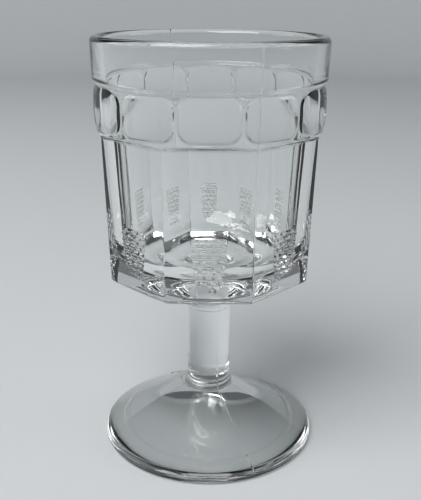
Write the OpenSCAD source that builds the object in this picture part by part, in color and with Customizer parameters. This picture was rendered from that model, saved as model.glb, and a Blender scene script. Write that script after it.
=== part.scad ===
// Pressed clear glass water goblet: an eight-sided bucket bowl on a collar, a plain stem and a spreading foot.
// Millimetres. The origin is the centre of the foot's underside, +Z points up, and a flat faces -Y.

/* [Foot] */
// Diameter of the foot at its edge
foot_d = 80.6; // [72:0.2:88]
// Height of the foot from the table to the stem
foot_h = 19.5; // [17:0.5:23]
// Thickness of the foot's rounded edge
foot_edge_t = 3.2; // [2.4:0.1:4]
// Distance from the foot's edge to the ring that it rests on
rest_inset = 2.3; // [1.9:0.1:4]
// Width of the ring that the foot rests on
rest_w = 5; // [3:0.5:8]
// Height of the hollow under the foot
foot_hollow_h = 11; // [6:0.5:12]

/* [Stem] */
// Length of the stem between the foot and the collar
stem_l = 32.5; // [26:0.5:42]
// Diameter of the stem at the foot
stem_foot_d = 18.4; // [17.2:0.2:20]
// Diameter of the stem at its waist
stem_waist_d = 16; // [13:0.2:16.6]
// Diameter of the stem at the collar
stem_top_d = 16.7; // [16.6:0.1:18]

/* [Collar] */
// Height of the collar between the stem and the bowl
collar_h = 10; // [7:0.5:14]
// Diameter of the collar's bead
collar_d = 18.6; // [18.2:0.1:22]
// Diameter of the collar where it meets the bowl
collar_top_d = 24; // [20:0.5:28]
// Height of the collar's bead
bead_h = 3.4; // [2.4:0.2:5]

/* [Bowl] */
// Height of the bowl from the collar to the rim
bowl_h = 88; // [84:0.5:100]
// Outer diameter of the rim
rim_d = 81; // [80.8:0.1:90]
// Thickness of the glass at the rim
rim_wall = 3.8; // [3:0.1:4.6]
// Distance that the plain band steps in from the rim
plain_band_inset = 0.4; // [0.2:0.1:0.6]
// Distance that the band with the tiles steps in from the rim
tile_band_inset = 1.3; // [1.1:0.1:1.6]
// Height of the plain band under the rim
plain_band_h = 14; // [10:0.5:15]
// Height of the band that carries the tiles
tile_band_h = 16.5; // [16:0.5:19]
// Height of the slope between the band and the flats, and over the tiles
ledge_h = 1.6; // [1:0.1:2.4]

/* [Eight-sided body] */
// Glass left off each corner of the body
corner_trim = 0.63; // [0.4:0.01:0.9]
// Draft of each flat, from the ledge in to the base
flat_draft = 1.8; // [1:0.1:2.6]
// Bevel along the foot of each flat
base_bevel = 1.4; // [0.8:0.1:1.6]
// Bevel at the foot of each corner
corner_bevel = 2; // [1.8:0.1:2.6]
// Drop of the underside from the base edge to the collar
underside_drop = 4; // [2:0.5:6]
// Thickness of the glass behind a flat, under the ledge
upper_wall = 2.8; // [2.2:0.1:3.6]
// Thickness of the glass behind a flat, where the cavity starts to round in
lower_wall = 3.4; // [2.6:0.1:4.4]
// Thickness of the solid base over the collar
base_t = 8.5; // [7:0.5:16]
// Radius that rounds the cavity into its floor
cavity_round = 14; // [8:0.5:20]

/* [Pressed pattern] */
// Number of raised tiles round the band
tile_count = 12; // [10:1:14]
// Height of each tile
tile_h = 14.2; // [12:0.2:14.4]
// Gap between neighbouring tiles
tile_gap = 0.8; // [0.6:0.1:2]
// Radius of the tiles' corners
tile_corner_r = 4.6; // [2:0.2:6]
// Rise of each tile over its band at mid height
tile_rise = 0.75; // [0.7:0.05:0.9]
// Height of the pads over the base edge
pad_lift = 7; // [5:0.5:9]
// Height of the pad near the foot of each flat
pad_h = 12.6; // [8:0.5:15]
// Width of the pad at its top
pad_top_w = 11.4; // [9:0.2:14]
// Width of the pad at its foot
pad_foot_w = 8.4; // [6:0.2:9]
// Rise of the pad over the flat
pad_rise = 0.5; // [0.3:0.1:0.8]

/* [Hidden] */
$fn = 96;

glass_color = [0.86, 0.9, 0.88, 0.45];
overrun = 2;
root_depth = 0.6;
band_lip = 0.3;
arc_steps = 10;
curve_steps = 8;
side_count = 8;
edge_turn = 60;
bead_low_turn = 50;
bead_high_turn = 60;
waist_place_share = 0.42;
flare_power = 4;
belly_power = 2;
hollow_power = 1.5;

foot_r = foot_d / 2;
rest_outer_r = foot_r - rest_inset;
rest_inner_r = rest_outer_r - rest_w;
rim_r = rim_d / 2;
plain_band_r = rim_r - plain_band_inset;
tile_band_r = rim_r - tile_band_inset;

// Heights, from the table up
stem_z = foot_h;
collar_z = stem_z + stem_l;
bowl_z = collar_z + collar_h;
rim_z = bowl_z + bowl_h;
base_z = bowl_z + underside_drop;
pad_z = base_z + pad_lift;
plain_band_z = rim_z - plain_band_h;
tile_band_z = plain_band_z - tile_band_h;
ledge_z = tile_band_z - ledge_h;
tile_z = tile_band_z + (plain_band_z - ledge_h - tile_band_z) / 2;
floor_z = bowl_z + base_t;
round_z = floor_z + cavity_round;

// Distances from the axis to the flats and corners: each corner is cut back from where two flats would meet
corner_ratio = cos(180 / side_count);
flat_ledge_r = (tile_band_r + corner_trim) * corner_ratio;
flat_base_r = flat_ledge_r - flat_draft;
corner_base_r = flat_base_r / corner_ratio - corner_trim;
draft_angle = atan2(flat_draft, ledge_z - base_z);

// Distance from the axis to a flat of the body at height z
function flat_r(z) = flat_base_r + flat_draft * (z - base_z) / (ledge_z - base_z);

// Radius of the cavity at the ledge, and where it starts to round in
cavity_ledge_r = flat_r(ledge_z) - upper_wall;
cavity_round_r = flat_r(round_z) - lower_wall;

// Points on an arc about a centre, from one angle to another
function arc(centre, r, from, to) = [
    for (i = [0 : arc_steps])
        let (a = from + (to - from) * i / arc_steps)
        centre + r * [cos(a), sin(a)]
];

// Height of the hollow under the foot at a distance from the axis: a cone with a rounded top
function hollow_z(r) = foot_hollow_h * (1 - pow(r / rest_inner_r, hollow_power));

// Radius of the stem at a height over the foot: it flares to both ends from its waist
function stem_r(h) =
    let (waist_h = stem_l * waist_place_share)
    h < waist_h
        ? stem_waist_d / 2 + (stem_foot_d - stem_waist_d) / 2 * pow(1 - h / waist_h, flare_power)
        : stem_waist_d / 2
            + (stem_top_d - stem_waist_d) / 2 * pow((h - waist_h) / (stem_l - waist_h), belly_power);

// Copies its children round the axis, the first one facing -Y
module around(count) {
    for (i = [0 : count - 1])
        rotate([0, 0, 360 / count * i - 90]) children();
}

// Spreading foot: a shallow cone with a rounded edge, hollow under the middle
module foot() {
    edge_r = foot_edge_t / 2;
    edge_centre = [foot_r - edge_r, edge_r];
    color(glass_color)
    rotate_extrude()
        polygon(concat(
            [for (i = [0 : curve_steps])
                let (r = rest_inner_r * i / curve_steps) [r, hollow_z(r)]],
            [[rest_outer_r, 0]],
            arc(edge_centre, edge_r, -edge_turn, edge_turn),
            [[stem_foot_d / 2, foot_h], [0, foot_h]]
        ));
}

// Solid stem with a slight waist
module stem() {
    color(glass_color)
    translate([0, 0, stem_z])
    rotate_extrude()
        polygon(concat(
            [[0, 0]],
            [for (i = [0 : 2 * curve_steps])
                let (h = stem_l * i / (2 * curve_steps)) [stem_r(h), h]],
            [[0, stem_l]]
        ));
}

// Collar that joins the stem to the bowl: a bead with a short flare over it
module collar() {
    bead_r = bead_h / 2;
    color(glass_color)
    translate([0, 0, collar_z])
    rotate_extrude()
        polygon(concat(
            [[0, 0], [stem_top_d / 2, 0]],
            arc([collar_d / 2 - bead_r, bead_r], bead_r, -bead_low_turn, bead_high_turn),
            [[collar_top_d / 2, collar_h], [0, collar_h]]
        ));
}

// Wall of the bowl as one turned form, before the flats are cut
module bowl_blank() {
    lip_r = rim_wall / 2;
    lip_centre = [rim_r - lip_r, rim_z - lip_r];
    rotate_extrude()
        polygon(concat(
            [[0, bowl_z], [collar_top_d / 2, bowl_z],
             [corner_base_r - corner_bevel, base_z], [corner_base_r, base_z + corner_bevel],
             [tile_band_r, tile_band_z], [tile_band_r, plain_band_z - ledge_h],
             [plain_band_r, plain_band_z]],
            arc(lip_centre, lip_r, 0, 180),
            [[cavity_ledge_r, ledge_z]],
            arc([cavity_round_r - cavity_round, round_z], cavity_round, 0, -90),
            [[0, floor_z]]
        ));
}

// Cutter for one flat: its inner face is drafted, with a bevel at the base and the ledge's slope at the top
module flat_cutter() {
    outer_r = rim_r + overrun;
    bevel_z = base_z + base_bevel;
    lip_z = tile_band_z - band_lip;
    translate([0, rim_r, 0])
    rotate([90, 0, 0])
    linear_extrude(rim_d)
        polygon([
            [flat_r(bevel_z) - base_bevel - overrun, base_z - overrun],
            [flat_r(bevel_z), bevel_z],
            [flat_r(ledge_z), ledge_z],
            [tile_band_r, lip_z],
            [outer_r, lip_z + (outer_r - tile_band_r)],
            [outer_r, base_z - overrun]
        ]);
}

// Outline of one tile: a rectangle with rounded corners, its width along X
module tile_outline(w, h, r) {
    square([w - 2 * r, h], center = true);
    square([w, h - 2 * r], center = true);
    for (x = [-1, 1], y = [-1, 1])
        translate([x * (w / 2 - r), y * (h / 2 - r)]) circle(r);
}

// Raised tiles: a ball about the axis stands out of the band, and only the tiles' outlines are kept of it
module tiles() {
    ball_r = tile_band_r + tile_rise;
    root_r = tile_band_r - root_depth;
    tile_w = 2 * ball_r * sin(180 / tile_count) - tile_gap;
    chord_r = root_r * cos(asin(tile_w / 2 / root_r));
    intersection() {
        translate([0, 0, tile_z]) sphere(ball_r);
        around(tile_count)
            translate([chord_r, 0, tile_z])
            rotate([90, 0, 90])
            linear_extrude(ball_r - chord_r + overrun)
                tile_outline(tile_w, tile_h, tile_corner_r);
    }
}

// Pad near the foot of a flat, wider at its top
module pad() {
    translate([flat_r(pad_z) - root_depth, 0, pad_z])
    rotate([0, draft_angle, 0])
    rotate([90, 0, 90])
    linear_extrude(root_depth + pad_rise)
        polygon([
            [-pad_foot_w / 2, 0], [pad_foot_w / 2, 0],
            [pad_top_w / 2, pad_h], [-pad_top_w / 2, pad_h]
        ]);
}

// Bowl: the blank with its flats cut, and its tiles and pads raised
module bowl() {
    color(glass_color)
    union() {
        difference() {
            bowl_blank();
            around(side_count) flat_cutter();
        }
        tiles();
        around(side_count) pad();
    }
}

foot();
stem();
collar();
bowl();
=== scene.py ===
"""Pressed clear glass water goblet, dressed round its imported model.

The foot, stem, collar and bowl are open shells that meet ring to ring, because the real sections are fused
hot and light crosses their joints without bending. Lengths are in metres, and MM is a millimetre.
"""
import math

import bpy
import numpy as np
from mathutils import Matrix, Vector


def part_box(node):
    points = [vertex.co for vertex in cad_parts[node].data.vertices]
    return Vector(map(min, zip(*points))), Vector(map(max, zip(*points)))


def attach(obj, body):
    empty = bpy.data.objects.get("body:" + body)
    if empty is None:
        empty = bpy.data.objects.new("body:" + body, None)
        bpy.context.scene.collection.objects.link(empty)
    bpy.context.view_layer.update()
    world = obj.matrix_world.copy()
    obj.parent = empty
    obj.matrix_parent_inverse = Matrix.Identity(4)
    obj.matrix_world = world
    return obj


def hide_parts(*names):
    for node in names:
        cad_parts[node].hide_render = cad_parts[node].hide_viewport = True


bl_info = {
    "name": "Pressed Glass Goblet",
    "version": (1, 0, 0),
    "blender": (4, 5, 0),
    "location": "3D View > Sidebar > Goblet",
    "description": "Builds a pressed glass water goblet with an eight-sided bowl and a round foot",
    "category": "Add Mesh",
}

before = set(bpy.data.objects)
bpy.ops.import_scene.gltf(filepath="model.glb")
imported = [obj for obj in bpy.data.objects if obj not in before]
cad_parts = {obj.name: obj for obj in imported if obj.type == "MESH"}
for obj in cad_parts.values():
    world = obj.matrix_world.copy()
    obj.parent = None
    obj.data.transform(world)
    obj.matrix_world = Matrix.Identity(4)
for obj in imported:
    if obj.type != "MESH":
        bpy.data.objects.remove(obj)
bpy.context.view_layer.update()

MM = 0.001
BODY = "root"

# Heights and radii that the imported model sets
FOOT_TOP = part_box("foot")[1][2]
FOOT_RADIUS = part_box("foot")[1][0]
STEM_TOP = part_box("stem")[1][2]
COLLAR_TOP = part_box("collar")[1][2]
RIM_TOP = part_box("bowl")[1][2]
RIM_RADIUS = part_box("bowl")[1][0]

# The middle of one flat faces the camera, along -Y, and a mould that opens in halves leaves two seams
FRONT = -math.pi / 2
SIDES = 8
SEAMS = 2

GLASS_TINT = "FBFDFC"
PAPER_GREY = "CDD0D2"
STUDIO_GREY = "585B5E"
LAMP_WHITE = "FFFFFF"


def linear_rgb(hex_colour):
    """An sRGB hex value as the linear colour that Blender's shaders take, by the sRGB standard's curve."""
    channels = [int(hex_colour[i:i + 2], 16) / 255 for i in (0, 2, 4)]
    return tuple(c / 12.92 if c <= 0.04045 else ((c + 0.055) / 1.055) ** 2.4 for c in channels)


def length(name, millimetres, description):
    """A length for the sidebar, given in millimetres and kept in metres."""
    return bpy.props.FloatProperty(
        name=name, description=description, default=millimetres * MM, min=0.0, precision=4, unit="LENGTH"
    )


def angle(name, degrees, description):
    """An angle for the sidebar, given in degrees and kept in radians."""
    return bpy.props.FloatProperty(
        name=name, description=description, default=math.radians(degrees), subtype="ANGLE"
    )


def colour(name, hex_colour, description):
    """A colour for the sidebar, given as an sRGB hex value."""
    return bpy.props.FloatVectorProperty(
        name=name, description=description, default=linear_rgb(hex_colour), min=0.0, max=1.0, subtype="COLOR"
    )


class GobletFootSizes(bpy.types.PropertyGroup):
    """Sizes of the spreading foot."""

    edge_thickness: length("Edge thickness", 3.2, "Thickness of the foot's rounded edge")
    rest_outer: length("Rest ring outer radius", 38.0, "Outer radius of the ring that the foot rests on")
    rest_inner: length("Rest ring inner radius", 33.0, "Inner radius of the ring that the foot rests on")
    rest_round: length("Rest ring rounding", 12.0, "Radius that the fire polish leaves across the ring")
    rest_blend: length("Rest ring blend", 0.8, "Blend between the hollow and the resting ring")
    hollow_height: length("Hollow height", 11.0, "Height of the hollow under the foot")
    hollow_ring: length("Hollow ring radius", 30.5, "Radius of the shallow ring that the plunger leaves")
    ring_depth: length("Hollow ring depth", 0.25, "Depth of the shallow ring in the hollow")
    swell: length("Swell", 0.12, "How far the top swells over a straight cone")
    seam_step: length("Seam step", 0.22, "Step between the two mould halves where they meet on the foot")


class GobletStemSizes(bpy.types.PropertyGroup):
    """Sizes of the stem and the collar."""

    foot_radius: length("Stem radius at foot", 9.2, "Radius of the stem where it spreads on to the foot")
    waist_radius: length("Stem radius at waist", 8.0, "Radius of the stem at its waist")
    top_radius: length("Stem radius at collar", 8.35, "Radius of the stem under the collar")
    bead_radius: length("Bead radius", 9.3, "Outer radius of the collar's bead")
    bead_height: length("Bead height", 3.4, "Height of the collar's bead")
    neck_radius: length("Neck radius", 12.0, "Radius of the collar where it meets the bowl")


class GobletBowlSizes(bpy.types.PropertyGroup):
    """Sizes of the bowl's wall, base and cavity."""

    rim_wall: length("Rim wall", 3.8, "Thickness of the glass at the rim")
    plain_band_radius: length("Plain band radius", 40.1, "Outer radius of the plain band over the tiles")
    plain_band_height: length("Plain band height", 14.0, "Height of the plain band under the rim")
    tile_band_radius: length("Tile band radius", 39.2, "Outer radius of the band that carries the tiles")
    tile_band_height: length("Tile band height", 16.5, "Height of the band that carries the tiles")
    ledge_height: length("Ledge height", 1.6, "Height of the slope between the flats and the band")
    top_flat: length("Flat distance at ledge", 36.8, "Distance from the axis to a flat under the ledge")
    base_flat: length("Flat distance at base", 35.0, "Distance from the axis to a flat at the base")
    flat_bow: length("Bow of a flat", 0.62, "How far the middle of a flat stands out from its corners")
    base_edge_round: length("Base edge rounding", 1.8, "Radius round the lower edge of the base")
    underside_drop: length("Underside drop", 4.0, "Drop of the underside from the base edge to the collar")
    underside_curve: bpy.props.FloatProperty(
        name="Underside curve", default=0.4, min=0.1, max=1.0,
        description="Course of the underside: 1 is a straight cone, and less rises near the collar",
    )
    base_thickness: length("Base thickness", 8.5, "Thickness of the solid glass over the collar")
    cavity_round: length("Cavity rounding", 14.0, "Radius that rounds the cavity into its floor")
    cavity_low_radius: length("Cavity radius low down", 32.24, "Radius where the cavity starts to round in")

    @property
    def base_z(self):
        """Height of the base's lower edge."""
        return COLLAR_TOP + self.underside_drop

    @property
    def wall_z(self):
        """Height where the wall starts, over the base's rounded edge."""
        return self.base_z + self.base_edge_round

    @property
    def ledge_z(self):
        """Height where the flats end, under the ledge."""
        return self.band_z - self.ledge_height

    @property
    def band_z(self):
        """Height where the band that carries the tiles starts."""
        return self.shoulder_z - self.tile_band_height

    @property
    def shoulder_z(self):
        """Height where the plain band starts."""
        return RIM_TOP - self.plain_band_height

    @property
    def lip_z(self):
        """Height where the wall starts to round over into the lip."""
        return RIM_TOP - self.rim_wall / 2

    @property
    def floor_z(self):
        """Height of the cavity's floor."""
        return COLLAR_TOP + self.base_thickness


class GobletPattern(bpy.types.PropertyGroup):
    """Sizes of the pressed pattern and of the marks that the mould leaves."""

    tile_count: bpy.props.IntProperty(name="Tiles", description="Number of raised tiles", default=12, min=3)
    tile_height: length("Tile height", 14.2, "Height of each raised tile")
    tile_gap: length("Tile gap", 0.8, "Gap between neighbouring tiles")
    tile_corner: length("Tile corner radius", 4.6, "Radius of the tiles' corners")
    tile_rise: length("Tile rise", 0.75, "Rise of a tile over its band at mid height")
    tile_edge: length("Tile edge width", 0.9, "Width of the soft slope round a tile")
    pad_lift: length("Pad lift", 7.0, "Height of the pads over the base edge")
    pad_height: length("Pad height", 16.2, "Height of each waffled pad")
    pad_top_width: length("Pad top width", 12.2, "Width of a pad at its top")
    pad_foot_width: length("Pad foot width", 8.4, "Width of a pad at its foot")
    pad_rise: length("Pad rise", 0.6, "Rise of a pad over its flat")
    brick_height: length("Brick height", 1.8, "Height of one brick of the waffle")
    brick_width: length("Brick width", 2.85, "Width of one brick of the waffle")
    groove_depth: length("Groove depth", 0.75, "Depth of the grooves between the bricks")
    groove_width: length("Groove width", 1.2, "Width of the grooves between the bricks")
    seam_turn: angle("Seam angle", 22.5, "Turn of the bowl's mould seam from the front flat's middle")
    foot_seam_turn: angle("Foot seam angle", 24.5, "Turn of the foot's seam, a little off the bowl's")
    seam_height: length("Seam height", 0.28, "Height of the fine ridge that the mould seam leaves")
    seam_width: length("Seam width", 0.42, "Width of the seam's ridge")
    ripple_height: length("Ripple height", 0.02, "Height of the ripples that the cool mould leaves")
    ripple_length: length("Ripple length", 9.0, "Distance between the ripples")


class GobletGlass(bpy.types.PropertyGroup):
    """Finish of the glass."""

    tint: colour("Tint", GLASS_TINT, "Faint grey-green tint of the glass")
    ior: bpy.props.FloatProperty(name="IOR", description="Index of refraction of the glass", default=1.52)
    roughness: bpy.props.FloatProperty(
        name="Roughness", description="Roughness of the fire-polished surface", default=0.0, subtype="FACTOR"
    )
    scuff: bpy.props.FloatProperty(
        name="Scuff", description="Roughness of the scuffed resting ring", default=0.25, subtype="FACTOR"
    )


class GobletStage(bpy.types.PropertyGroup):
    """Floor, lamps and surroundings."""

    paper: colour("Paper", PAPER_GREY, "Colour of the seamless paper under and behind the goblet")
    surroundings: colour("Surroundings", STUDIO_GREY, "Colour of the studio round the goblet")
    key_power: bpy.props.FloatProperty(
        name="Key power", description="Power of the large soft lamp", default=40.0, min=0.0, unit="POWER"
    )
    side_power: bpy.props.FloatProperty(
        name="Side power", description="Power of each side lamp", default=2.2, min=0.0, unit="POWER"
    )


def smoothstep(low, high, value):
    """0 below low, 1 above high and a smooth rise between."""
    share = np.clip((value - low) / (high - low), 0.0, 1.0)
    return share * share * (3 - 2 * share)


def soft_min(a, b, blend):
    """The smaller of two surfaces, with the crease between them rounded over the blend."""
    share = np.clip(0.5 + 0.5 * (b - a) / blend, 0.0, 1.0)
    return b + (a - b) * share - blend * share * (1 - share)


def soft_max(a, b, blend):
    """The larger of two surfaces, with the crease between them rounded over the blend."""
    return -soft_min(-a, -b, blend)


def spread(low, high, steps, samples=20000):
    """Places from low to high. steps gives the step wanted at each place."""
    fine = np.linspace(low, high, samples)
    density = 1 / steps(fine)
    total = np.concatenate([[0], np.cumsum((density[1:] + density[:-1]) / 2 * np.diff(fine))])
    count = math.ceil(total[-1])
    return np.interp(np.linspace(0, total[-1], count + 1), total, fine)


def from_nearest(angles, first, count):
    """Signed angle from the nearest of count directions, of which the first is given."""
    pitch = 2 * math.pi / count
    return (angles - first + pitch / 2) % pitch - pitch / 2


def column_angles(pattern):
    """Angles of the shells' columns, closer together at the pads, tile gaps, corners and seams."""
    tiles = pattern.tile_count
    plain_step = 0.5
    # Where the first of each kind is, how many there are, and half its width and its step in degrees
    fine_places = {
        "pad": (FRONT, SIDES, 10.4, 0.33),
        "tile gap": (FRONT + math.pi / tiles, tiles, 2.2, 0.3),
        "corner": (FRONT + math.pi / SIDES, SIDES, 1.8, 0.18),
        "bowl seam": (FRONT + pattern.seam_turn, SEAMS, 0.9, 0.09),
        "foot seam": (FRONT + pattern.foot_seam_turn, SEAMS, 0.9, 0.09),
    }

    def steps(angles):
        step = np.full(angles.shape, math.radians(plain_step))
        for first, count, half_width, fine_step in fine_places.values():
            away = np.abs(from_nearest(angles, first, count))
            step = np.where(away < math.radians(half_width), math.radians(fine_step), step)
        return step

    return spread(FRONT, FRONT + 2 * math.pi, steps)[:-1]


def ripples(points, wavelength):
    """Smooth unevenness between -1 and 1, the same on every run: waves in a few fixed directions.

    Each wave is turned from the last by the golden angle, so that no two of them line up.
    """
    waves, steepest, phase_step = 7, 0.8, 2.4
    total = np.zeros(points.shape[:-1])
    for i in range(waves):
        turn = i * math.pi * (3 - math.sqrt(5))
        rise = -steepest + 2 * steepest * i / (waves - 1)
        across = math.sqrt(1 - rise * rise)
        direction = np.array([across * math.cos(turn), across * math.sin(turn), rise])
        total += np.sin(points @ direction * (2 * math.pi / wavelength) + phase_step * i)
    return total / waves


def seam_ridge(pattern, turn, angles, radius):
    """Height of the ridge over the surface that the mould seam at a turn leaves."""
    away = from_nearest(angles, FRONT + turn, SEAMS) * radius
    return pattern.seam_height * np.exp(-((2 * away / pattern.seam_width) ** 2))


def rings(angles, radius, height):
    """Points of a shell, one ring for each row. radius and height are arrays of rows by columns."""
    angles, radius, height = np.broadcast_arrays(angles, radius, height)
    return np.stack([radius * np.cos(angles), radius * np.sin(angles), height], axis=-1)


def stacked(parts, columns):
    """Stretches of a shell, each a pair of radii and heights, as one array of radii and one of heights."""

    def full(stretches):
        return np.vstack([np.broadcast_to(rows, (len(rows), columns)) for rows in stretches])

    radii, heights = zip(*parts)
    return full(radii), full(heights)


def skin(name, points, low_pole=None, high_pole=None, void=None):
    """An object from rings of points. A pole closes its low or high end, and a void is a bubble in it."""
    rows, columns = points.shape[:2]
    corner = np.arange(rows * columns).reshape(rows, columns)
    right = np.roll(corner, -1, axis=1)
    faces = np.stack([corner[:-1], right[:-1], right[1:], corner[1:]], axis=-1).reshape(-1, 4).tolist()
    vertices = points.reshape(-1, 3).tolist()
    if low_pole is not None:
        faces += [(len(vertices), b, a) for a, b in zip(corner[0].tolist(), right[0].tolist())]
        vertices.append((0.0, 0.0, low_pole))
    if high_pole is not None:
        faces += [(a, b, len(vertices)) for a, b in zip(corner[-1].tolist(), right[-1].tolist())]
        vertices.append((0.0, 0.0, high_pole))
    if void is not None:
        void_vertices, void_faces = void
        start = len(vertices)
        vertices += void_vertices
        faces += [[start + v for v in face] for face in void_faces]
    mesh = bpy.data.meshes.new(name)
    mesh.from_pydata(vertices, [], faces)
    mesh.shade_smooth()
    mesh.update()
    piece = bpy.data.objects.new(name, mesh)
    bpy.context.scene.collection.objects.link(piece)
    return piece


def seed_bubble(centre, radius, rows=12, columns=24):
    """A round bubble in the glass. Its faces look inwards, because the glass is outside it."""
    x, y, z = centre
    vertices = [(x, y, z + radius), (x, y, z - radius)]
    for i in range(1, rows):
        fall = math.pi * i / rows
        ring_r, ring_z = radius * math.sin(fall), z + radius * math.cos(fall)
        for j in range(columns):
            turn = 2 * math.pi * j / columns
            vertices.append((x + ring_r * math.cos(turn), y + ring_r * math.sin(turn), ring_z))
    faces = []
    last = 2 + (rows - 2) * columns
    for j in range(columns):
        after = (j + 1) % columns
        faces.append((0, 2 + after, 2 + j))
        faces.append((1, last + j, last + after))
        for i in range(rows - 2):
            near = 2 + i * columns
            far = near + columns
            faces.append((near + j, near + after, far + after, far + j))
    return vertices, faces


def finish_piece(piece, node, material):
    """Puts a glass section on its body, in place of its node, with its finish."""
    piece.data.materials.append(material)
    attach(piece, BODY)
    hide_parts(node)


def add_node(tree, kind, settings=None, links=None):
    """Adds a shader node. settings are its properties or input values, links its inputs' sources."""
    node = tree.nodes.new(kind)
    for key, value in (settings or {}).items():
        if key in node.inputs:
            node.inputs[key].default_value = value
        else:
            setattr(node, key, value)
    for key, socket in (links or {}).items():
        tree.links.new(socket, node.inputs[key])
    return node


def new_material(name):
    """An empty node material and its tree, or the material that is there already and no tree."""
    material = bpy.data.materials.get(name)
    if material:
        return material, None
    material = bpy.data.materials.new(name)
    material.use_nodes = True
    material.node_tree.nodes.clear()
    return material, material.node_tree


def pressed_soda_lime_glass(finish):
    """Soda-lime glass, pressed in an iron mould and fire-polished.

    The polish leaves a clear, wet-looking surface, and the mould's chill leaves faint orange-peel waves that
    make what is seen through the wall swim a little. Years on the table have scuffed the ring that the foot
    rests on, so the lowest glass has a broken frosting, drawn coarser than real scratches so that it shows.
    """
    material, tree = new_material("pressed_soda_lime_glass")
    if tree is None:
        return material
    peel_mm, peel_depth_mm, scuff_mm = 2.2, 0.008, 0.5
    scuff_starts, scuff_full = 0.52, 0.64
    worn_below_mm, clear_above_mm = 0.1, 0.4
    place = add_node(tree, "ShaderNodeNewGeometry")
    peel = add_node(
        tree, "ShaderNodeTexNoise",
        {"Scale": 1 / (peel_mm * MM), "Detail": 1.0, "Roughness": 0.4},
        {"Vector": place.outputs["Position"]},
    )
    bump = add_node(
        tree, "ShaderNodeBump",
        {"Strength": 0.5, "Distance": peel_depth_mm * MM},
        {"Height": peel.outputs["Fac"]},
    )
    scratches = add_node(
        tree, "ShaderNodeTexNoise",
        {"Scale": 1 / (scuff_mm * MM), "Detail": 3.0, "Roughness": 0.7},
        {"Vector": place.outputs["Position"]},
    )
    broken = add_node(
        tree, "ShaderNodeMapRange",
        {
            "From Min": scuff_starts, "From Max": scuff_full,
            "To Min": finish.roughness, "To Max": finish.scuff,
        },
        {"Value": scratches.outputs["Fac"]},
    )
    position = add_node(tree, "ShaderNodeSeparateXYZ", links={"Vector": place.outputs["Position"]})
    worn = add_node(
        tree, "ShaderNodeMapRange",
        {"From Min": worn_below_mm * MM, "From Max": clear_above_mm * MM, "To Max": finish.roughness},
        {"Value": position.outputs["Z"], "To Min": broken.outputs["Result"]},
    )
    glass = add_node(
        tree, "ShaderNodeBsdfPrincipled",
        {"Base Color": (*finish.tint, 1.0), "IOR": finish.ior, "Transmission Weight": 1.0},
        {"Roughness": worn.outputs["Result"], "Normal": bump.outputs["Normal"]},
    )
    add_node(tree, "ShaderNodeOutputMaterial", links={"Surface": glass.outputs["BSDF"]})
    return material


def seamless_paper(stage):
    """Seamless background paper, calendered to a matt face: an even pale grey with no sheen."""
    material, tree = new_material("seamless_background_paper")
    if tree is None:
        return material
    paper = add_node(
        tree, "ShaderNodeBsdfPrincipled",
        {"Base Color": (*stage.paper, 1.0), "Roughness": 0.9, "Specular IOR Level": 0.1},
    )
    add_node(tree, "ShaderNodeOutputMaterial", links={"Surface": paper.outputs["BSDF"]})
    return material


def foot_underside(sizes):
    """Radii and heights of the foot's underside: the hollow with its shallow ring, then the resting ring."""
    hollow_power = 1.5
    first_share = 0.02
    plain_step, fine_step, fine_margin = 1.3 * MM, 0.38 * MM, 3 * MM
    ring_half_width, rest_reach = 1.5 * MM, 5 * MM

    def steps(radius):
        return np.where(radius > sizes.hollow_ring - fine_margin, fine_step, plain_step)

    radius = spread(first_share * sizes.rest_inner, sizes.rest_outer, steps)
    hollow = sizes.hollow_height * (1 - (radius / sizes.rest_inner) ** hollow_power)
    hollow += sizes.ring_depth * smoothstep(ring_half_width, 0, np.abs(radius - sizes.hollow_ring))
    rest_middle = (sizes.rest_inner + sizes.rest_outer) / 2
    rest = np.maximum(radius - rest_middle, -rest_reach) ** 2 / (2 * sizes.rest_round)
    return radius, soft_max(hollow, rest, sizes.rest_blend)


def foot_relief(sizes, pattern, angles, radius, height, stem_r):
    """How far the foot's top stands off a plain one: the seam, the step beside it and the ripples."""
    ridge_fade, relief_fade = 0.8 * MM, 3 * MM
    step_width, step_spread = 0.3 * MM, math.radians(14)
    seam = pattern.foot_seam_turn
    from_stem = radius - stem_r
    ridge = smoothstep(0, ridge_fade, from_stem) * seam_ridge(pattern, seam, angles, radius)
    away = from_nearest(angles, FRONT + seam, SEAMS)
    step = smoothstep(0, step_width, away * radius) * np.exp(-np.clip(away, 0, None) / step_spread)
    wave = pattern.ripple_height * ripples(rings(angles, radius, height), pattern.ripple_length)
    fade = smoothstep(0, relief_fade, from_stem)
    return ridge - fade * sizes.seam_step * step + fade * wave


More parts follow.
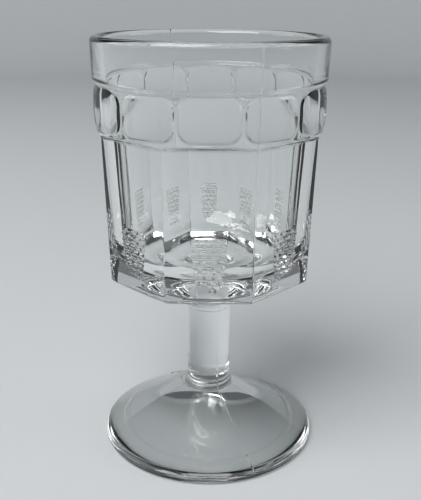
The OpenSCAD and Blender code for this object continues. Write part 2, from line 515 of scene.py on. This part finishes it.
class GOBLET_OT_foot(bpy.types.Operator):
    """Build the spreading foot: a shallow cone with a rounded edge, hollow under the middle"""

    bl_idname = "goblet.foot"
    bl_label = "Foot"

    def execute(self, context):
        scene = context.scene
        sizes, pattern = scene.goblet_foot, scene.goblet_pattern
        angles = column_angles(pattern)
        stem_r = scene.goblet_stem.foot_radius
        edge = sizes.edge_thickness / 2
        edge_turn, edge_points, top_points = 60, 15, 27
        relief_starts_share, relief_full_share = 0.4, 1.4

        under_r, under_z = foot_underside(sizes)
        turn = np.radians(np.linspace(-edge_turn, edge_turn, edge_points))
        edge_r = FOOT_RADIUS - edge + edge * np.cos(turn)
        edge_z = edge + edge * np.sin(turn)
        share = np.linspace(0, 1, top_points)[1:]
        top_r = edge_r[-1] + (stem_r - edge_r[-1]) * share
        top_z = edge_z[-1] + (FOOT_TOP - edge_z[-1]) * share + sizes.swell * np.sin(math.pi * share)

        radius = np.concatenate([under_r, edge_r, top_r])[:, None]
        height = np.concatenate([under_z, edge_z, top_z])[:, None]
        above = smoothstep(relief_starts_share * edge, relief_full_share * edge, height)
        above[:len(under_r)] = 0
        height = height + above * foot_relief(sizes, pattern, angles, radius, height, stem_r)
        piece = skin("foot_glass", rings(angles, radius, height), low_pole=sizes.hollow_height)
        finish_piece(piece, "foot", pressed_soda_lime_glass(scene.goblet_glass))
        return {"FINISHED"}


def stem_radius(sizes, share):
    """Radius of the stem at a share of its height: it flares from its waist to both ends."""
    waist_share, flare_power, belly_power = 0.42, 4, 2
    flare = np.clip(1 - share / waist_share, 0, 1)
    belly = np.clip((share - waist_share) / (1 - waist_share), 0, 1)
    low = sizes.waist_radius + (sizes.foot_radius - sizes.waist_radius) * flare ** flare_power
    return low + (sizes.top_radius - sizes.waist_radius) * belly ** belly_power


class GOBLET_OT_stem(bpy.types.Operator):
    """Build the solid stem with its slight waist and the seam that the mould leaves along it"""

    bl_idname = "goblet.stem"
    bl_label = "Stem"

    def execute(self, context):
        scene = context.scene
        sizes, pattern = scene.goblet_stem, scene.goblet_pattern
        angles = column_angles(pattern)
        ring_count, fade_share = 60, 0.03
        share = np.linspace(0, 1, ring_count)[:, None]
        radius = stem_radius(sizes, share)
        height = FOOT_TOP + (STEM_TOP - FOOT_TOP) * share
        fade = smoothstep(0, fade_share, share)
        radius = radius + fade * seam_ridge(pattern, pattern.foot_seam_turn, angles, radius)
        piece = skin("stem_glass", rings(angles, radius, height))
        finish_piece(piece, "stem", pressed_soda_lime_glass(scene.goblet_glass))
        return {"FINISHED"}


class GOBLET_OT_collar(bpy.types.Operator):
    """Build the collar: a bead with a short flare up to the bowl"""

    bl_idname = "goblet.collar"
    bl_label = "Collar"

    def execute(self, context):
        scene = context.scene
        sizes, pattern = scene.goblet_stem, scene.goblet_pattern
        angles = column_angles(pattern)
        bead = sizes.bead_height / 2
        low_turn, high_turn, bead_points = -50, 60, 22
        flare_power, flare_points = 1.6, 20
        seam_fade = 3 * MM
        turn = np.radians(np.linspace(low_turn, high_turn, bead_points))
        bead_r = sizes.bead_radius - bead + bead * np.cos(turn)
        bead_z = STEM_TOP + bead + bead * np.sin(turn)
        rise = np.linspace(0, 1, flare_points)[1:]
        flare_r = bead_r[-1] + (sizes.neck_radius - bead_r[-1]) * rise ** flare_power
        flare_z = bead_z[-1] + (COLLAR_TOP - bead_z[-1]) * rise
        radius = np.concatenate([[sizes.top_radius], bead_r, flare_r])[:, None]
        height = np.concatenate([[STEM_TOP], bead_z, flare_z])[:, None]
        fade = smoothstep(0, seam_fade, COLLAR_TOP - height)
        radius = radius + fade * seam_ridge(pattern, pattern.foot_seam_turn, angles, radius)
        piece = skin("collar_glass", rings(angles, radius, height))
        finish_piece(piece, "collar", pressed_soda_lime_glass(scene.goblet_glass))
        return {"FINISHED"}


def flat_radius(turned, distance, bow, corner_y):
    """Radius, at an angle from its middle, of a flat that bows out a little from a straight chord."""
    curve = bow * np.sin(turned) ** 2 / corner_y ** 2
    return 2 * distance / (np.cos(turned) + np.sqrt(np.cos(turned) ** 2 + 4 * curve * distance))


def wall_radius(sizes, pattern, angles, height):
    """Radius of the bowl's outer face at each angle and height."""
    corner_blend, ledge_blend, band_blend = 0.22 * MM, 0.5 * MM, 0.4 * MM
    shoulder_height = 1.6 * MM
    slope_share = 0.8

    draft = (sizes.top_flat - sizes.base_flat) / (sizes.ledge_z - sizes.base_z)
    straight = sizes.base_flat + draft * (height - sizes.base_z)
    slope = (sizes.tile_band_radius - sizes.top_flat) / (sizes.ledge_height * slope_share)
    sloped = sizes.top_flat + slope * (height - sizes.ledge_z)
    distance = soft_max(straight, sloped, ledge_blend)

    turned = from_nearest(angles, FRONT, SIDES)
    corner_y = sizes.base_flat * math.tan(math.pi / SIDES)
    near = flat_radius(np.abs(turned), distance, sizes.flat_bow, corner_y)
    beside = flat_radius(2 * math.pi / SIDES - np.abs(turned), distance, sizes.flat_bow, corner_y)
    octagon = soft_min(near, beside, corner_blend)

    step_out = sizes.plain_band_radius - sizes.tile_band_radius
    rise = np.clip((height - sizes.shoulder_z) / sizes.plain_band_height, 0, 1)
    round_wall = (
        sizes.tile_band_radius
        + step_out * smoothstep(sizes.shoulder_z - shoulder_height, sizes.shoulder_z, height)
        + (RIM_RADIUS - sizes.plain_band_radius) * rise
    )
    wall = soft_min(round_wall, octagon, band_blend)
    wall = wall + tile_rise(sizes, pattern, angles, height, wall)
    wall = wall + pad_rise(pattern, turned * wall, height - sizes.base_z - pattern.pad_lift)
    return wall + seam_ridge(pattern, pattern.seam_turn, angles, wall)


def tile_rise(sizes, pattern, angles, height, wall):
    """How far the raised tiles stand out: rounded rectangles, domed from top to bottom."""
    middle = (sizes.band_z + sizes.shoulder_z - sizes.ledge_height) / 2
    ball = sizes.tile_band_radius + pattern.tile_rise
    half_w = ball * math.sin(math.pi / pattern.tile_count) - pattern.tile_gap / 2
    half_h = pattern.tile_height / 2
    across = np.abs(np.sin(from_nearest(angles, FRONT, pattern.tile_count)) * wall)
    up = np.abs(height - middle)
    corner = pattern.tile_corner
    over_x = np.maximum(across - (half_w - corner), 0)
    over_y = np.maximum(up - (half_h - corner), 0)
    inset = corner - np.hypot(over_x, over_y)
    dome = np.sqrt(np.clip(ball ** 2 - up ** 2, 0, None)) - sizes.tile_band_radius
    return np.clip(dome, 0, None) * smoothstep(0, pattern.tile_edge, inset)


def pad_rise(pattern, across, up):
    """How far the pads stand out: a tapered outline, waffled into courses of soft-edged bricks."""
    end_blend, corner_blend = 1 * MM, 2 * MM
    slope_outside, slope_inside = 0.2 * MM, 0.4 * MM

    share = np.clip(up / pattern.pad_height, 0, 1)
    half_w = (pattern.pad_foot_width + (pattern.pad_top_width - pattern.pad_foot_width) * share) / 2
    from_ends = soft_min(up, pattern.pad_height - up, end_blend)
    inset = soft_min(half_w - np.abs(across), from_ends, corner_blend)
    outline = smoothstep(-slope_outside, slope_inside, inset)

    course = np.floor(up / pattern.brick_height)
    level = (up / pattern.brick_height) % 1
    along = (across / pattern.brick_width + 0.5 * (course % 2)) % 1
    from_bed = pattern.brick_height * (0.5 - np.abs(level - 0.5))
    from_joint = pattern.brick_width * (0.5 - np.abs(along - 0.5))
    half_groove = pattern.groove_width / 2
    brick = smoothstep(0, half_groove, from_bed) * smoothstep(0, half_groove, from_joint)
    return outline * (pattern.pad_rise - pattern.groove_depth * (1 - brick))


def bowl_wall(sizes, pattern, angles):
    """Radii and heights of the outer face up to the lip, in finer steps at the pads and tiles."""
    plain_step, pad_step, tile_step = 1.2 * MM, 0.22 * MM, 0.4 * MM
    margin, ledge_margin = 1 * MM, 3 * MM
    pad_low = sizes.base_z + pattern.pad_lift
    pad_high = pad_low + pattern.pad_height

    def steps(height):
        at_pads = (height > pad_low - margin) & (height < pad_high + margin)
        at_tiles = (height > sizes.band_z - ledge_margin) & (height < sizes.shoulder_z + margin)
        return np.where(at_tiles, tile_step, np.where(at_pads, pad_step, plain_step))

    height = spread(sizes.wall_z, sizes.lip_z, steps)[:, None]
    return wall_radius(sizes, pattern, angles, height), height


def bowl_base(sizes, neck, wall_r):
    """Radii and heights of the underside from the neck out, and of the rounded edge up to the wall."""
    edge_points, under_points = 12, 40
    edge = sizes.base_edge_round
    first = math.atan2(sizes.underside_drop, sizes.base_flat - neck)
    turn = np.linspace(first, math.pi / 2, edge_points)[:-1, None]
    edge_r = wall_r[:1] - edge + edge * np.sin(turn)
    edge_z = np.broadcast_to(sizes.wall_z - edge * np.cos(turn), edge_r.shape)

    share = np.linspace(0, 1, under_points)[:-1, None] ** 2
    under_r = neck + (edge_r[:1] - neck) * share
    under_z = COLLAR_TOP + (edge_z[:1] - COLLAR_TOP) * share ** sizes.underside_curve
    return (under_r, under_z), (edge_r, edge_z)


def bowl_lip(sizes):
    """Radii and heights of the round lip, over from the outer face to the cavity."""
    lip_points = 18
    lip = sizes.rim_wall / 2
    turn = np.linspace(0, math.pi, lip_points)[1:-1, None]
    return RIM_RADIUS - lip + lip * np.cos(turn), sizes.lip_z + lip * np.sin(turn)


def bowl_cavity(sizes):
    """Radii and heights of the cavity from the lip down: its side, its rounding and its flat floor."""
    side_points, round_points, floor_points = 60, 20, 14
    straight_share, flared_share = 0.8, 0.2
    innermost_share = 0.03
    low_r, rounding = sizes.cavity_low_radius, sizes.cavity_round
    round_z = sizes.floor_z + rounding
    side_z = np.linspace(sizes.lip_z, round_z, side_points)[:, None]
    rise = (side_z - round_z) / (sizes.lip_z - round_z)
    widening = RIM_RADIUS - sizes.rim_wall - low_r
    side_r = low_r + widening * (straight_share * rise + flared_share * rise ** 2)

    turn = np.linspace(0, math.pi / 2, round_points)[1:, None]
    round_r = low_r - rounding + rounding * np.cos(turn)
    bottom_z = round_z - rounding * np.sin(turn)
    floor_r = round_r[-1] * np.linspace(1, innermost_share, floor_points)[1:, None]
    return (side_r, side_z), (round_r, bottom_z), (floor_r, np.full(floor_r.shape, sizes.floor_z))


class GOBLET_OT_bowl(bpy.types.Operator):
    """Build the bowl: eight flats with waffled pads, a band of raised tiles, a plain rim and a cavity"""

    bl_idname = "goblet.bowl"
    bl_label = "Bowl"

    def execute(self, context):
        scene = context.scene
        sizes, pattern = scene.goblet_bowl, scene.goblet_pattern
        angles = column_angles(pattern)
        neck = scene.goblet_stem.neck_radius
        neck_fade, rim_fade = 4 * MM, 3 * MM
        bubble_place, bubble_radius = (1.2 * MM, -29 * MM, 69.8 * MM), 1.3 * MM

        wall_r, wall_z = bowl_wall(sizes, pattern, angles)
        radius, height = stacked([
            *bowl_base(sizes, neck, wall_r),
            (wall_r, wall_z),
            bowl_lip(sizes),
            *bowl_cavity(sizes),
        ], len(angles))
        fade = smoothstep(0, neck_fade, radius - neck) * smoothstep(0, rim_fade, sizes.lip_z - height)
        wave = ripples(rings(angles, radius, height), pattern.ripple_length)
        radius = radius + fade * pattern.ripple_height * wave

        bubble = seed_bubble(bubble_place, bubble_radius)
        piece = skin("bowl_glass", rings(angles, radius, height), high_pole=sizes.floor_z, void=bubble)
        finish_piece(piece, "bowl", pressed_soda_lime_glass(scene.goblet_glass))
        return {"FINISHED"}


def area_lamp(name, place, target, size, power):
    """A soft rectangular lamp at a place, turned to its target."""
    lamp = bpy.data.lights.new(name, "AREA")
    lamp.shape = "RECTANGLE"
    lamp.size, lamp.size_y = size
    lamp.energy = power
    lamp.color = linear_rgb(LAMP_WHITE)
    holder = bpy.data.objects.new(name, lamp)
    holder.visible_camera = False
    way = np.array(target) - np.array(place)
    flat = math.hypot(way[0], way[1])
    holder.location = place
    holder.rotation_euler = (math.atan2(flat, -way[2]), 0, math.atan2(-way[0], way[1]))
    bpy.context.scene.collection.objects.link(holder)


def paper_cove():
    """The seamless paper: a level round floor that curves up into a low wall all round."""
    floor_r, bend, top, gap = 1.3, 0.5, 0.8, 0.1 * MM
    bend_points, columns = 24, 120
    turn = np.linspace(0, math.pi / 2, bend_points)
    radius = np.concatenate([[floor_r / 2], floor_r + bend * np.sin(turn), [floor_r + bend]])[:, None]
    height = np.concatenate([[0], bend - bend * np.cos(turn), [top]])[:, None] - gap
    angles = np.linspace(0, 2 * math.pi, columns, endpoint=False)
    return skin("paper_cove", rings(angles, radius, height), low_pole=-gap)


def studio_air(surroundings):
    """The even grey of the studio, which lights the goblet from all round and shows in the glass."""
    world = bpy.data.worlds.new("studio")
    world.use_nodes = True
    world.node_tree.nodes.clear()
    tree = world.node_tree
    air = add_node(tree, "ShaderNodeBackground", {"Color": (*surroundings, 1.0), "Strength": 1.0})
    add_node(tree, "ShaderNodeOutputWorld", links={"Surface": air.outputs["Background"]})
    return world


def fitted_camera():
    """The camera, at the place and tilt that fit the ellipses of the rim and the foot."""
    place = (0, -0.2617, 0.1640)
    tilt, roll = math.radians(70.9), math.radians(0.33)
    lens = bpy.data.cameras.new("camera")
    lens.lens = 54
    lens.sensor_width = 36
    lens.shift_x = 0.00286
    lens.clip_start = 0.01
    camera = bpy.data.objects.new("camera", lens)
    camera.matrix_world = (
        Matrix.Translation(place) @ Matrix.Rotation(tilt, 4, "X") @ Matrix.Rotation(roll, 4, "Z")
    )
    bpy.context.scene.collection.objects.link(camera)
    return camera


class GOBLET_OT_stage(bpy.types.Operator):
    """Set out the paper, the soft lamps, the surroundings and the camera"""

    bl_idname = "goblet.stage"
    bl_label = "Stage"

    def execute(self, context):
        scene = context.scene
        stage = scene.goblet_stage
        cove = paper_cove()
        cove.data.materials.append(seamless_paper(stage))

        middle = (0, 0, RIM_TOP / 2)
        key_place, key_size = (-0.7, -0.95, 1.6), (1.5, 1.5)
        side_x, side_y, side_z = 1.2, 0.05, 0.55
        side_size = (0.7, 0.4)
        area_lamp("key_lamp", key_place, middle, key_size, stage.key_power)
        area_lamp("left_lamp", (-side_x, side_y, side_z), middle, side_size, stage.side_power)
        area_lamp("right_lamp", (side_x, -side_y, side_z), middle, side_size, stage.side_power)

        scene.world = studio_air(stage.surroundings)
        scene.view_settings.view_transform = "Standard"
        scene.camera = fitted_camera()
        return {"FINISHED"}


class GOBLET_PT_build(bpy.types.Panel):
    """Sidebar panel with one button for each section and its sizes"""

    bl_idname = "GOBLET_PT_build"
    bl_label = "Pressed Glass Goblet"
    bl_space_type = "VIEW_3D"
    bl_region_type = "UI"
    bl_category = "Goblet"

    def draw(self, context):
        for operator, groups in PANEL_ROWS:
            box = self.layout.box()
            box.operator(operator.bl_idname)
            for group in groups:
                sizes = getattr(context.scene, group)
                for key in sizes.__annotations__:
                    box.prop(sizes, key)


SETTINGS = {
    "goblet_foot": GobletFootSizes,
    "goblet_stem": GobletStemSizes,
    "goblet_bowl": GobletBowlSizes,
    "goblet_pattern": GobletPattern,
    "goblet_glass": GobletGlass,
    "goblet_stage": GobletStage,
}
PANEL_ROWS = (
    (GOBLET_OT_foot, ("goblet_foot",)),
    (GOBLET_OT_stem, ("goblet_stem",)),
    (GOBLET_OT_collar, ()),
    (GOBLET_OT_bowl, ("goblet_bowl", "goblet_pattern", "goblet_glass")),
    (GOBLET_OT_stage, ("goblet_stage",)),
)
CLASSES = (*SETTINGS.values(), *(operator for operator, groups in PANEL_ROWS), GOBLET_PT_build)


def register():
    """Makes the settings, operators and panel known to Blender."""
    for cls in CLASSES:
        bpy.utils.register_class(cls)
    for name, group in SETTINGS.items():
        setattr(bpy.types.Scene, name, bpy.props.PointerProperty(type=group))


def unregister():
    """Takes them out again."""
    for name in SETTINGS:
        delattr(bpy.types.Scene, name)
    for cls in reversed(CLASSES):
        bpy.utils.unregister_class(cls)


def main():
    """Builds the goblet and its stage."""
    register()
    bpy.ops.goblet.foot()
    bpy.ops.goblet.stem()
    bpy.ops.goblet.collar()
    bpy.ops.goblet.bowl()
    bpy.ops.goblet.stage()


if __name__ == "__main__":
    main()
